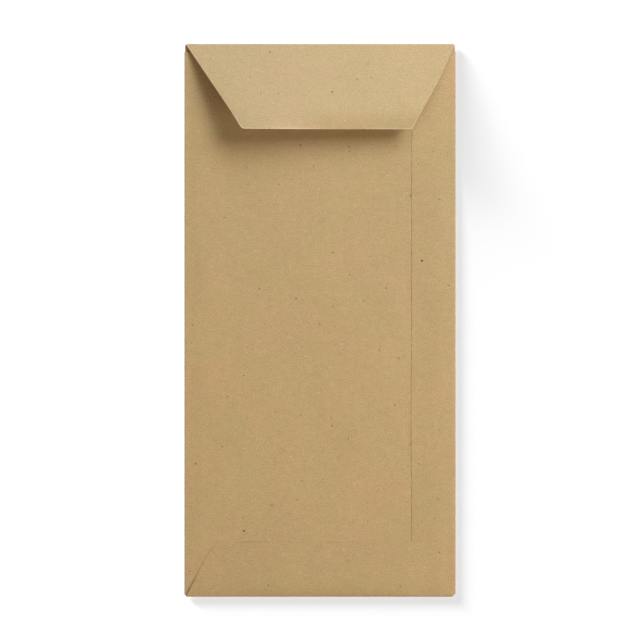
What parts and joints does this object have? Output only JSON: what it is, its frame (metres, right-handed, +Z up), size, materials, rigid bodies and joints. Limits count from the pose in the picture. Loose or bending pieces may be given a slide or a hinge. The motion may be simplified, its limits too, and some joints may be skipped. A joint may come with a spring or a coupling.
{
  "type": "paper envelope",
  "caption": "Tall brown kraft paper envelope with a side seam, a glued bottom flap and an open closing flap that springs up from its fold, lying face down.",
  "frame": {"origin": "centre of the whole envelope seen from above, on the surface it lies on", "axes": "+Y along the envelope from the bottom fold to the closing flap's fold, +X across it towards the seam's side, +Z up out of the back panel"},
  "size_m": [0.11, 0.2242, 0.0126],
  "materials": {
    "kraft_paper": "matte, recycled kraft with fine fibres"
  },
  "bodies": {
    "root": {"envelope_sheet": "kraft_paper"}
  },
  "joints": []
}
